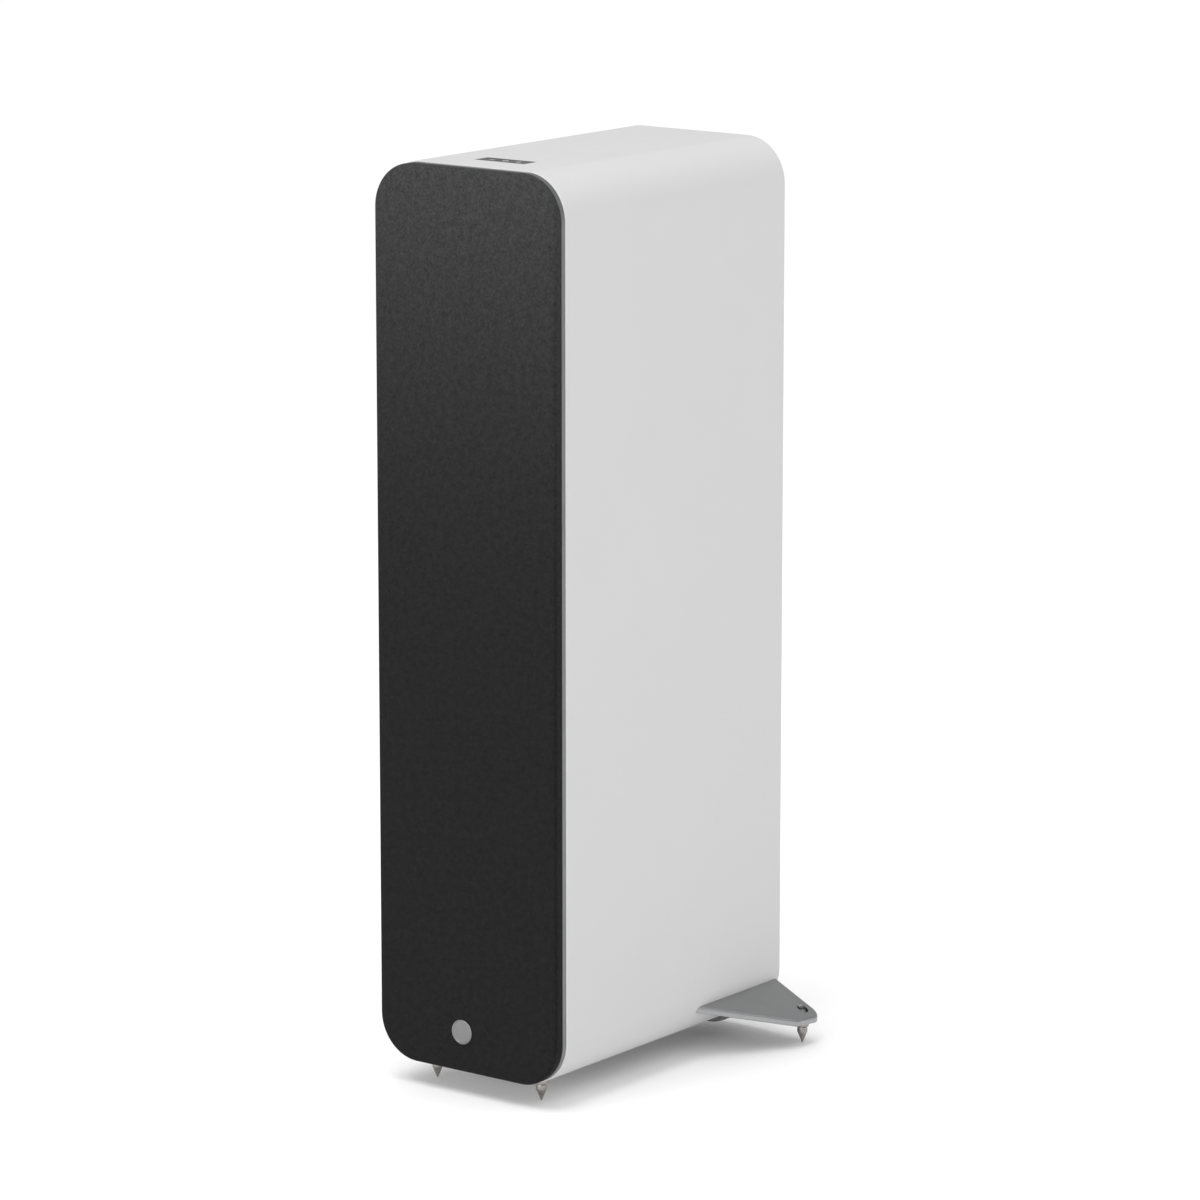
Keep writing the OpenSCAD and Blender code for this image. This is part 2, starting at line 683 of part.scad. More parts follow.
module screws() color("dimgray") {
    for (z = [upper_woofer_z, lower_woofer_z]) facing_front(z)
        for (a = [45 : 90 : 315]) rotate(a) translate([woofer_screw_r, 0, 0]) {
            disc(3.3, -2.4, -0.3);
            disc(1.9, -13.5, -2.4);
        }
    facing_front(tweeter_z) for (a = [90 : 120 : 330]) rotate(a)
        translate([tweeter_screw_r + 1.5, 0, 0]) {
            translate([0, 0, -1.7]) cylinder(r1 = 1.5, r2 = 2.6, h = 1.5);
            disc(1.5, -11.5, -1.7);
        }
    panel_screws_at() {
        disc(1.4, back_y - 9, panel_face_y);
        disc(3, panel_face_y, panel_face_y + 1.6);
    }
    port_screws_at() {
        disc(1.4, back_y - 9, back_y + 2.5);
        disc(2.4, back_y + 2.5, back_y + 3.8);
    }
    for (x = [-flange_bolt_x, flange_bolt_x], y = flange_bolt_ys) translate([x, y, 0]) {
        disc(4, cabinet_bottom - 7, cabinet_bottom - 4.2);
        disc(2.4, cabinet_bottom - 4.2, cabinet_bottom + 11);
    }
}

// ---------------------------------------------------------------- stabilisers and spikes

corner_x = cabinet_w / 2 - corner_r;
corner_z = cabinet_bottom + corner_r;

// Plan view of the right wing: a long root edge and a blunt tip with two
// rounded corners. The four outer points are where its edges touch the arcs.
module wing_plan() {
    front = [cabinet_w / 2 + 35.2, front_y + 254];
    back = [cabinet_w / 2 + 34.2, front_y + 273.5];
    polygon([
        [cabinet_w / 2 - 10, front_y + 163.2],
        front + 5 * [cos(-29.3), sin(-29.3)], front + 5 * [cos(-5.9), sin(-5.9)],
        back + 8 * [cos(-5.9), sin(-5.9)], back + [0, 8],
        [cabinet_w / 2 - 10, front_y + 281.5]
    ]);
    translate(front) circle(5);
    translate(back) circle(8);
}

module wing_slab() {
    fall = tan(wing_slope);
    reach = 60;
    translate([cabinet_w / 2 - 10, front_y + 300, 0]) rotate([90, 0, 0]) linear_extrude(150) polygon([
        [0, wing_root_z + 10 * fall], [reach, wing_root_z + (10 - reach) * fall],
        [reach, wing_root_z + (10 - reach) * fall - wing_t], [0, wing_root_z + 10 * fall - wing_t]
    ]);
}

// Curved web that hugs the sleeve's corner and the flat flange under it.
module wing_web() {
    along_y(front_y + 236, front_y + 276) translate([corner_x, corner_z]) intersection() {
        circle(corner_r + 4);
        translate([0, -corner_r - 5]) square([corner_r + 5, corner_r - 9.5]);
    }
    along_y(front_y + 229, front_y + 276)
        translate([corner_x - 22, cabinet_bottom - 4]) square([22, 4]);
}

module stabiliser() color("darkgray") {
    difference() {
        union() {
            intersection() {
                linear_extrude(60) wing_plan();
                wing_slab();
            }
            wing_web();
            translate([rear_spike_x, rear_spike_y, 0]) disc(boss_r, boss_z, 23);
        }
        along_y(front_y + 150, front_y + 300) {
            translate([corner_x, corner_z]) circle(corner_r + 0.15);
            translate([0, cabinet_bottom - 0.15]) square([corner_x, 60]);
            translate([0, corner_z]) square([cabinet_w / 2 + 0.15, 40]);
        }
        translate([rear_spike_x, rear_spike_y, 0]) {
            disc(thread_r, boss_z - 1, 40);
            disc(4.4, 21.5, 40);
        }
        for (y = flange_bolt_ys) translate([flange_bolt_x, y, 0])
            disc(2.6, cabinet_bottom - 5, cabinet_bottom + 1);
    }
}

module spike(x, y, stud_top) color("silver") translate([x, y, 0]) difference() {
    rotate_extrude() polygon([
        [0, 0], [0.5, 0], [collar_r, cone_h], [collar_r, collar_top - 0.6],
        [collar_r - 0.6, collar_top], [stud_r, collar_top], [stud_r, stud_top - 0.5],
        [stud_r - 0.5, stud_top], [0, stud_top]
    ]);
    translate([0, 0, stud_top - 3]) cylinder(r = 1.6, h = 4, $fn = 6);
}

module hex_nut(z0) difference() {
    translate([0, 0, z0]) cylinder(r = 5.8, h = 3.8, $fn = 6);
    disc(thread_r, z0 - 1, z0 + 5);
}

module lock_nuts_and_inserts() {
    color("silver") for (side = [-1, 1]) {
        translate([side * front_spike_x, front_spike_y, 0]) hex_nut(nut_z);
        translate([side * rear_spike_x, rear_spike_y, 0]) hex_nut(nut_z);
    }
    color("goldenrod") for (side = [-1, 1])
        translate([side * front_spike_x, front_spike_y, 0])
            tube(5, thread_r, cabinet_bottom + 0.6, cabinet_bottom + wall);
    color("goldenrod") for (x = [-flange_bolt_x, flange_bolt_x], y = flange_bolt_ys)
        translate([x, y, 0]) tube(4.5, 2.5, cabinet_bottom + 0.2, cabinet_bottom + wall);
}

// ---------------------------------------------------------------- nodes

cabinet();
front_trim();
front_baffle();
rear_board();
braces();
damping_wadding();
reflex_port();
amp_chamber();
facing_front(upper_woofer_z) woofer_basket();  // upper_basket
facing_front(upper_woofer_z) woofer_magnet();  // upper_magnet
facing_front(upper_woofer_z) woofer_surround();  // upper_surround
facing_front(upper_woofer_z) woofer_cone();  // upper_cone
facing_front(upper_woofer_z) woofer_dust_cap();  // upper_dust_cap
facing_front(upper_woofer_z) woofer_voice_coil();  // upper_voice_coil
facing_front(upper_woofer_z) woofer_spider();  // upper_spider
facing_front(lower_woofer_z) woofer_basket();  // lower_basket
facing_front(lower_woofer_z) woofer_magnet();  // lower_magnet
facing_front(lower_woofer_z) woofer_surround();  // lower_surround
facing_front(lower_woofer_z) woofer_cone();  // lower_cone
facing_front(lower_woofer_z) woofer_dust_cap();  // lower_dust_cap
facing_front(lower_woofer_z) woofer_voice_coil();  // lower_voice_coil
facing_front(lower_woofer_z) woofer_spider();  // lower_spider
facing_front(tweeter_z) tweeter_plate();
facing_front(tweeter_z) tweeter_dome();
facing_front(tweeter_z) tweeter_magnet();
grille_frame();
grille_cloth();
badge();
grille_magnets();
baffle_magnets();
control_panel();
key(-1);  // volume_down_button
key(0);  // source_button
key(1);  // volume_up_button
status_lens();
control_board();
amp_panel();
mains_inlet();
power_rocker();
line_jacks();
optical_socket();
pairing_button();
slider(0);  // placement_slider
slider(30);  // channel_slider
post_bases();
post_nut(-post_x);  // red_post_nut
post_nut(post_x);  // black_post_nut
post_cap(-post_x, "red");  // red_post_cap
post_cap(post_x, "black");  // black_post_cap
amp_board();
power_supply();
wiring();
screws();
mirror([1, 0, 0]) stabiliser();  // left_stabiliser
stabiliser();  // right_stabiliser
spike(-front_spike_x, front_spike_y, 29);  // front_left_spike
spike(front_spike_x, front_spike_y, 29);  // front_right_spike
spike(-rear_spike_x, rear_spike_y, 26);  // rear_left_spike
spike(rear_spike_x, rear_spike_y, 26);  // rear_right_spike
lock_nuts_and_inserts();
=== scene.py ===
"""Looks of a slim powered floorstanding speaker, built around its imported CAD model."""

import math

import bmesh
import bpy
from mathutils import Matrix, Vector
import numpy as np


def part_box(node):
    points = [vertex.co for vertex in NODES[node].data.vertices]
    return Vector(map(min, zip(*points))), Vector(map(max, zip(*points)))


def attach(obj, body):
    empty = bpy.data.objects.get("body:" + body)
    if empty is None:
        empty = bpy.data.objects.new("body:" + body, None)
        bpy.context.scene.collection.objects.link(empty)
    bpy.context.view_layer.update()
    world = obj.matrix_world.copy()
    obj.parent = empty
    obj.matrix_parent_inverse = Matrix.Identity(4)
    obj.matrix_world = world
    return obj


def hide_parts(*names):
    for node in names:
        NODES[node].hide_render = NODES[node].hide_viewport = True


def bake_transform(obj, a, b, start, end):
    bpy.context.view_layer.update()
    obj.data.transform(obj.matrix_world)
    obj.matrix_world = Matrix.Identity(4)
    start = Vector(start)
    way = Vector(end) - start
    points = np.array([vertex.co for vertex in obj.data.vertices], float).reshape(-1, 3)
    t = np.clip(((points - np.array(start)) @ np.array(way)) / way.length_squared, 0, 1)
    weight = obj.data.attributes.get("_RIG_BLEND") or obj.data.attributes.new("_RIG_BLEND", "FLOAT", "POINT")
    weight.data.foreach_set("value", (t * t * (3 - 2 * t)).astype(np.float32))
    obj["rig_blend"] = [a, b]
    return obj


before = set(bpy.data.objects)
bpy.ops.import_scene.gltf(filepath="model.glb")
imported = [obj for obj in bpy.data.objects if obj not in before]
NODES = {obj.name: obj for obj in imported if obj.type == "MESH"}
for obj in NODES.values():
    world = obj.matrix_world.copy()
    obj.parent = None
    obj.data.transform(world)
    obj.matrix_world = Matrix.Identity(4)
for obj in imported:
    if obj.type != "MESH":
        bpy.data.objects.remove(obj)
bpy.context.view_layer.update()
MM = 0.001
TAU = 2 * math.pi
ROOT = "enclosure"


def box_mm(node):
    """The lowest and highest corners of a CAD node, in millimetres."""
    low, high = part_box(node)
    return Vector(low) / MM, Vector(high) / MM


CABINET = box_mm("cabinet")
CLOTH = box_mm("grille_cloth")
TRIM = box_mm("front_trim")
PANEL = box_mm("control_panel")
CENTRE_Z = (CABINET[0].z + CABINET[1].z) / 2
FRONT_Y = CLOTH[0].y
BAFFLE_Y = TRIM[0].y
BACK_Y = CABINET[1].y
CORNER_R = 35.0      # outside radius of the sleeve's long corners
WALL = 15.0          # thickness of the sleeve's walls
CORNER_STEPS = 28    # steps round each corner of the sleeve, trim and cloth
BOARD_T = 1.6        # thickness of a printed board
EDGE_ANGLE = 35      # degrees; a sharper edge than this is eased

# ------------------------------------------------------------------ camera and light

FOCAL_MM = 166.6
CAMERA_AT = (2.50596, -3.28266, 1.2154)
CAMERA_YAW = 37.2166
CAMERA_PITCH = 11.7439


def make_camera():
    data = bpy.data.cameras.new("camera")
    data.lens = FOCAL_MM
    data.sensor_width = 36.0
    data.clip_end = 100.0
    obj = bpy.data.objects.new("camera", data)
    bpy.context.collection.objects.link(obj)
    yaw, pitch = math.radians(CAMERA_YAW), math.radians(CAMERA_PITCH)
    heading = Vector((-math.sin(yaw) * math.cos(pitch), math.cos(yaw) * math.cos(pitch),
                      -math.sin(pitch)))
    obj.location = CAMERA_AT
    obj.rotation_mode = "QUATERNION"
    obj.rotation_quaternion = heading.to_track_quat("-Z", "Y")
    bpy.context.scene.camera = obj


def area_light(name, at, aim, size, watts):
    data = bpy.data.lights.new(name, "AREA")
    data.shape = "RECTANGLE"
    data.size, data.size_y = size
    data.energy = watts
    obj = bpy.data.objects.new(name, data)
    bpy.context.collection.objects.link(obj)
    obj.location = at
    obj.rotation_mode = "QUATERNION"
    obj.rotation_quaternion = (Vector(aim) - Vector(at)).to_track_quat("-Z", "Y")


# ------------------------------------------------------------------ materials

MATERIALS = {}
THREAD_PITCH = 0.00075  # metres from thread to thread of the grille cloth


class Shader:
    """A Principled material whose textures are laid out in the row frame, in metres."""

    def __init__(self, name, colour, rough, metal=0.0, **sockets):
        self.mat = bpy.data.materials.new(name)
        self.mat.use_nodes = True
        self.tree = self.mat.node_tree
        self.bsdf = self.tree.nodes["Principled BSDF"]
        self.colour = (*colour, 1.0)
        self.bsdf.inputs["Base Color"].default_value = self.colour
        self.bsdf.inputs["Roughness"].default_value = rough
        self.bsdf.inputs["Metallic"].default_value = metal
        for key, value in sockets.items():
            self.bsdf.inputs[key.replace("_", " ")].default_value = value
        self.place = self.tree.nodes.new("ShaderNodeTexCoord").outputs["Object"]
        MATERIALS[name] = self.mat

    def add(self, kind, links=None, values=None, **settings):
        node = self.tree.nodes.new("ShaderNode" + kind)
        for key, value in settings.items():
            setattr(node, key, value)
        for key, value in (values or {}).items():
            node.inputs[key].default_value = value
        for key, socket in (links or {}).items():
            self.tree.links.new(socket, node.inputs[key])
        return node

    def math(self, operation, a, b=None):
        node = self.add("Math", operation=operation)
        for i, value in enumerate((a, b)):
            if value is None:
                continue
            if isinstance(value, (int, float)):
                node.inputs[i].default_value = value
            else:
                self.tree.links.new(value, node.inputs[i])
        return node.outputs[0]

    def noise(self, scale, detail=3.0, stretch=(1, 1, 1), contrast=0.5):
        stretched = self.add("Mapping", {"Vector": self.place}, {"Scale": stretch})
        node = self.add("TexNoise", {"Vector": stretched.outputs[0]},
                        {"Scale": scale, "Detail": detail, "Roughness": contrast})
        return node.outputs[0]

    def remap(self, value, low, high, from_low=0.3, from_high=0.7):
        node = self.add("MapRange", {"Value": value},
                        {"From Min": from_low, "From Max": from_high,
                         "To Min": low, "To Max": high})
        return node.outputs[0]

    def tint(self, factor, dark, light):
        """Colours the surface from dark to light as the factor goes from 0 to 1."""
        node = self.add("Mix", {"Factor": factor}, data_type="RGBA")
        node.inputs["A"].default_value = (*dark, 1.0)
        node.inputs["B"].default_value = (*light, 1.0)
        self.tree.links.new(node.outputs["Result"], self.bsdf.inputs["Base Color"])

    def vary_colour(self, factor, amount):
        c = self.colour[:3]
        self.tint(factor, [v * (1 - amount) for v in c], [min(1, v * (1 + amount)) for v in c])

    def vary_rough(self, factor, low, high):
        self.tree.links.new(self.remap(factor, low, high), self.bsdf.inputs["Roughness"])

    def bump(self, height, depth_mm, strength=1.0):
        node = self.add("Bump", {"Height": height},
                        {"Distance": depth_mm * MM, "Strength": strength})
        self.tree.links.new(node.outputs[0], self.bsdf.inputs["Normal"])

    def xyz(self):
        return self.add("SeparateXYZ", {"Vector": self.place}).outputs


def grained(name, colour, rough, metal=0.0, scale=900, depth=0.02, tint=0.06,
            rough_by=0.05, detail=3.0, stretch=(1, 1, 1), blotch=30, **sockets):
    """Moulded, cast or painted surface: fine grain in the bump, slow variation in the rest."""
    s = Shader(name, colour, rough, metal, **sockets)
    slow = s.noise(blotch, 4.0)
    s.vary_colour(s.remap(slow, 0, 1), tint)
    s.vary_rough(s.noise(blotch * 2.7, 3.0), max(0.02, rough - rough_by), rough + rough_by)
    s.bump(s.noise(scale, detail, stretch), depth)


def make_materials():
    grained("lacquer", (0.608, 0.603, 0.605), 0.42, scale=420, depth=0.012, tint=0.006,
            rough_by=0.03, blotch=14, Specular_IOR_Level=0.4)
    grained("trim_silver", (0.2, 0.203, 0.206), 0.36, 0.85, scale=700, depth=0.004, tint=0.05,
            stretch=(1, 12, 1))
    grained("baffle_paint", (0.03, 0.031, 0.034), 0.55, scale=1500, depth=0.015)
    grained("moulded_black", (0.022, 0.0225, 0.024), 0.52, scale=1700, depth=0.025)
    grained("basket_paint", (0.035, 0.036, 0.04), 0.4, 0.35, scale=1300, depth=0.02)
    grained("ferrite", (0.05, 0.05, 0.055), 0.7, 0.1, scale=900, depth=0.05, tint=0.25)
    grained("rubber", (0.017, 0.017, 0.0175), 0.62, scale=2200, depth=0.01, tint=0.1)
    grained("coil_copper", (0.62, 0.28, 0.12), 0.35, 0.9, scale=260, depth=0.05,
            stretch=(0.05, 14, 0.05))
    grained("spider", (0.45, 0.29, 0.08), 0.8, scale=1900, depth=0.06, tint=0.15)
    grained("dome_silk", (0.03, 0.03, 0.034), 0.6, scale=2600, depth=0.03, Sheen_Weight=0.3)
    grained("nickel", (0.66, 0.65, 0.63), 0.22, 1.0, scale=500, depth=0.006, tint=0.05)
    grained("panel_grey", (0.075, 0.077, 0.08), 0.5, scale=1600, depth=0.012, tint=0.04)
    grained("key_grey", (0.065, 0.067, 0.07), 0.45, scale=1600, depth=0.01, tint=0.04)
    grained("icon_white", (0.72, 0.73, 0.74), 0.5, scale=1500, depth=0.004, tint=0.02)
    grained("lens", (0.8, 0.82, 0.86), 0.15, scale=700, depth=0.002, tint=0.02,
            Transmission_Weight=0.6)
    grained("solder_mask", (0.012, 0.12, 0.045), 0.35, scale=500, depth=0.03, tint=0.35,
            blotch=160, Coat_Weight=0.3)
    grained("panel_powder", (0.02, 0.0205, 0.022), 0.5, 0.3, scale=1200, depth=0.05)
    grained("gold", (0.86, 0.6, 0.22), 0.22, 1.0, scale=500, depth=0.005, tint=0.05)
    grained("cap_red", (0.5, 0.012, 0.012), 0.2, scale=500, depth=0.004, Coat_Weight=0.6)
    grained("cap_black", (0.014, 0.014, 0.015), 0.22, scale=500, depth=0.004, Coat_Weight=0.6)
    grained("switch_white", (0.75, 0.75, 0.72), 0.5, scale=1500, depth=0.01, tint=0.02)
    grained("cable", (0.03, 0.03, 0.033), 0.5, scale=1100, depth=0.01)
    grained("black_oxide", (0.03, 0.03, 0.032), 0.4, 0.8, scale=1100, depth=0.02, tint=0.15)
    grained("component", (0.05, 0.05, 0.055), 0.45, scale=900, depth=0.01, tint=0.2)
    grained("tin", (0.55, 0.55, 0.54), 0.35, 1.0, scale=900, depth=0.01, tint=0.1)
    grained("winding_tape", (0.62, 0.4, 0.06), 0.45, scale=700, depth=0.02, tint=0.1,
            stretch=(0.2, 6, 0.2))
    grained("cast_alloy", (0.36, 0.364, 0.368), 0.32, 1.0, scale=2400, depth=0.012, tint=0.03,
            rough_by=0.04, detail=2.0)
    grained("badge_metal", (0.23, 0.23, 0.234), 0.34, 1.0, scale=300, depth=0.006, tint=0.06,
            stretch=(14, 1, 0.4))

    # Turned metal: fine rings around the upright axis of each spike.
    s = Shader("turned_metal", (0.33, 0.315, 0.3), 0.3, 1.0)
    rings = s.noise(1400, 2.0, (0.02, 0.02, 1))
    s.vary_colour(s.remap(s.noise(60, 3.0), 0, 1), 0.12)
    s.vary_rough(rings, 0.2, 0.34)
    s.bump(rings, 0.01)

    # Grille cloth: plain weave of dark threads with a few lighter fibres, and a painted highlight that
    # lightens it towards its top.
    s = Shader("grille_cloth", (0.03, 0.0305, 0.032), 0.9, Sheen_Weight=0.06,
               Sheen_Roughness=0.4, Specular_IOR_Level=0.08)
    turns = math.pi / THREAD_PITCH
    x, y, z = s.xyz()
    across = s.math("SINE", s.math("MULTIPLY", s.math("ADD", x, y), turns))
    along = s.math("SINE", s.math("MULTIPLY", s.math("SUBTRACT", z, y), turns))
    over = s.math("GREATER_THAN", s.math("MULTIPLY", across, along), 0.0)
    warp = s.math("MULTIPLY", s.math("ABSOLUTE", across), over)
    weft = s.math("MULTIPLY", s.math("ABSOLUTE", along), s.math("SUBTRACT", 1.0, over))
    weave = s.math("ADD", warp, weft)
    fibres = s.noise(520, 5.0, (1, 1, 1), 0.7)
    mottle = s.noise(190, 4.0, (1, 1, 1), 0.6)
    shade = s.math("MULTIPLY", s.remap(fibres, 0.35, 1.0),
                   s.math("ADD", 0.55, s.math("MULTIPLY", weave, 0.45)))
    shade = s.math("ADD", s.math("MULTIPLY", shade, 0.75), s.remap(mottle, 0.0, 0.25))
    # Painted highlight: from z = 0.2 m up to 0.7 m the cloth is made up to 4.8 times lighter, standing in
    # for light falling from overhead.
    fade = s.math("POWER", s.remap(z, 0.0, 1.0, 0.2, 0.7), 2.8)
    shade = s.math("MULTIPLY", shade, s.math("ADD", 1.0, s.math("MULTIPLY", fade, 3.8)))
    s.tint(s.math("MULTIPLY", shade, 0.165), (0.003, 0.003, 0.003), (0.1, 0.1, 0.102))
    s.bump(s.math("ADD", weave, s.math("MULTIPLY", fibres, 0.5)), 0.16, 0.8)

    # Woofer cone: pressed pulp with faint fibres.
    s = Shader("cone_pulp", (0.05, 0.051, 0.055), 0.6, Sheen_Weight=0.1)
    pulp = s.noise(650, 6.0, (1, 1, 0.35), 0.65)
    s.vary_colour(s.remap(pulp, 0, 1), 0.3)
    s.vary_rough(pulp, 0.52, 0.7)
    s.bump(pulp, 0.05)

    # Bare board: pressed wood fibre, its tone varying with the grain.
    s = Shader("raw_board", (0.5, 0.36, 0.22), 0.8)
    grain = s.noise(150, 6.0, (1, 0.25, 1), 0.7)
    s.tint(s.remap(grain, 0, 1), (0.36, 0.25, 0.14), (0.56, 0.42, 0.27))
    s.bump(grain, 0.12)

    # Wadding: loose white fibre.
    s = Shader("wadding", (0.78, 0.78, 0.76), 0.95, Sheen_Weight=0.5, Subsurface_Weight=0.1)
    fluff = s.noise(240, 8.0, (1, 1, 1), 0.8)
    s.tint(s.remap(fluff, 0, 1), (0.6, 0.6, 0.58), (0.85, 0.85, 0.84))
    s.bump(fluff, 1.2)

    s = Shader("studio_floor", (0.94, 0.94, 0.94), 0.9, Specular_IOR_Level=0.0)
    s.vary_colour(s.remap(s.noise(3, 2.0), 0, 1), 0.004)
    s.bsdf.inputs["Emission Color"].default_value = (1, 1, 1, 1)
    s.bsdf.inputs["Emission Strength"].default_value = 0.04


# ------------------------------------------------------------------ mesh code


def rounded_rect(w, h, r, steps=20):
    """Outline of a rounded rectangle as (x, z) points, counter-clockwise from the right."""
    points = []
    for quarter in range(4):
        a0 = quarter * math.pi / 2
        sx, sz = (1, -1, -1, 1)[quarter], (1, 1, -1, -1)[quarter]
        cx, cz = sx * (w / 2 - r), sz * (h / 2 - r)
        for i in range(steps + 1):
            a = a0 + math.pi / 2 * i / steps
            points.append((cx + r * math.cos(a), cz + r * math.sin(a)))
    return points


def loft(rings, loop=False, caps=False):
    """Vertices and faces of a skin through closed rings that have equal numbers of points."""
    n = len(rings[0])
    verts = [p for ring in rings for p in ring]
    faces = []
    for k in range(len(rings) if loop else len(rings) - 1):
        a, b = k * n, (k + 1) % len(rings) * n
        faces += [(a + i, a + (i + 1) % n, b + (i + 1) % n, b + i) for i in range(n)]
    if caps:
        faces.append(tuple(range(n)))
        last = (len(rings) - 1) * n
        faces.append(tuple(last + i for i in reversed(range(n))))
    return verts, faces


def lathe(profile, steps=96):
    """Rings of a turned shape: profile is a list of (radius, height)."""
    angles = [TAU * i / steps for i in range(steps)]
    return [[(r * math.cos(a), r * math.sin(a), h) for a in angles] for r, h in profile]


def facing_front(points, x, z, y=None):
    """Moves local points so that their +Z points to -Y, from the baffle's face."""
    y = BAFFLE_Y if y is None else y
    return [(x + p[0], y - p[2], z + p[1]) for p in points]


def shade(obj, angle=32):
    mesh = obj.data
    mesh.shade_smooth()
    mesh.set_sharp_from_angle(angle=math.radians(angle))


def tidy_mesh(mesh, flat=False):
    work = bmesh.new()
    work.from_mesh(mesh)
    bmesh.ops.remove_doubles(work, verts=work.verts, dist=2e-6)
    bmesh.ops.dissolve_degenerate(work, dist=1e-6, edges=work.edges)
    if flat:
        bmesh.ops.dissolve_limit(work, angle_limit=math.radians(0.6), verts=work.verts,
                                 edges=work.edges)
    bmesh.ops.recalc_face_normals(work, faces=work.faces)
    work.to_mesh(mesh)
    work.free()


def settle(obj):
    """Applies the modifiers, so that the final mesh is what rides."""
    bpy.context.view_layer.update()
    graph = bpy.context.evaluated_depsgraph_get()
    mesh = bpy.data.meshes.new_from_object(obj.evaluated_get(graph))
    obj.modifiers.clear()
    obj.data = mesh


def firm_normals(obj):
    """Keeps a flat face flat in its shading, right up to its rounded edges."""
    mod = obj.modifiers.new("normals", "WEIGHTED_NORMAL")
    mod.mode = "FACE_AREA"
    mod.weight = 100
    mod.keep_sharp = True
    settle(obj)


def bevel(obj, width_mm, segments):
    mod = obj.modifiers.new("edges", "BEVEL")
    mod.width = width_mm * MM
    mod.segments = segments
    mod.limit_method = "ANGLE"
    mod.angle_limit = math.radians(EDGE_ANGLE)
    mod.use_clamp_overlap = True
    settle(obj)


def place(obj, material, body, replaces=()):
    obj.data.materials.clear()
    for name in [material] if isinstance(material, str) else material:
        obj.data.materials.append(MATERIALS[name])
    if body:
        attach(obj, body)
    if replaces:
        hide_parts(*replaces)
    return obj


def build(name, verts, faces, angle=32):
    """A mesh object from points in millimetres."""
    mesh = bpy.data.meshes.new(name)
    mesh.from_pydata([Vector(v) * MM for v in verts], [], faces)
    tidy_mesh(mesh)
    obj = bpy.data.objects.new(name, mesh)
    bpy.context.collection.objects.link(obj)
    shade(obj, angle)
    return obj


def joined(name, slabs):
    """One object from several slabs, each given as its rings."""
    verts, faces = [], []
    for rings in slabs:
        more_verts, more_faces = loft(rings, caps=True)
        faces += [tuple(i + len(verts) for i in face) for face in more_faces]
        verts += more_verts
    return build(name, verts, faces)


def refined(node, material, body, width_mm=0.4, segments=2, pick=None):
    """A finished copy of a CAD node with eased edges. pick chooses a material by solid."""
    source = NODES[node]
    mesh = source.data.copy()
    mesh.name = node + "_fine"
    for name in [a.name for a in mesh.attributes if a.name == "custom_normal"]:
        mesh.attributes.remove(mesh.attributes[name])
    tidy_mesh(mesh, flat=True)
    obj = bpy.data.objects.new(node + "_fine", mesh)
    bpy.context.collection.objects.link(obj)
    if width_mm:
        bevel(obj, width_mm, segments)
    shade(obj, EDGE_ANGLE)
    firm_normals(obj)
    place(obj, material, body, (node,))
    if pick:
        assign_by_solid(obj.data, pick)
    return obj


def assign_by_solid(mesh, pick):
    """Sets each loose solid's material index from its lowest and highest corners, in mm."""
    work = bmesh.new()
    work.from_mesh(mesh)
    seen = set()
    for start in work.faces:
        if start.index in seen:
            continue
        stack, group = [start], []
        seen.add(start.index)
        while stack:
            face = stack.pop()
            group.append(face)
            for edge in face.edges:
                for other in edge.link_faces:
                    if other.index not in seen:
                        seen.add(other.index)
                        stack.append(other)
        points = [v.co / MM for f in group for v in f.verts]
        low = Vector([min(p[i] for p in points) for i in range(3)])
        high = Vector([max(p[i] for p in points) for i in range(3)])
        index = pick(low, high)
        for face in group:
            face.material_index = index
    work.to_mesh(mesh)
    work.free()


def assign_by_place(mesh, pick):
    """Sets each face's material index from the place of its middle, in millimetres."""
    for face in mesh.polygons:
        face.material_index = pick(face.center / MM)


def cut(obj, cutter):
    mod = obj.modifiers.new("cut", "BOOLEAN")
    mod.operation = "DIFFERENCE"
    mod.solver = "EXACT"
    mod.object = cutter
    settle(obj)
    bpy.data.objects.remove(cutter)


# ------------------------------------------------------------------ cabinet and front


def prism(name, outline, z0, z1, cx, cy):
    rings = [[(cx + x, cy + y, z) for x, y in outline] for z in (z0, z1)]
    return build(name, *loft(rings, caps=True))


def upright_ring(size, r, inset, y):
    """A rounded outline of that size, drawn in by inset, as a ring at depth y."""
    outline = rounded_rect(size.x - 2 * inset, size.z - 2 * inset, r - inset, CORNER_STEPS)
    return [(x, y, CENTRE_Z + z) for x, z in outline]


RIM_ROUND = 1.0      # rounding of the sleeve's two outer rims
RIM_CHAMFER = 0.3    # chamfer of its two inner rims
POCKET_GAP = 0.2     # room around the control panel
POCKET_R = 1.6


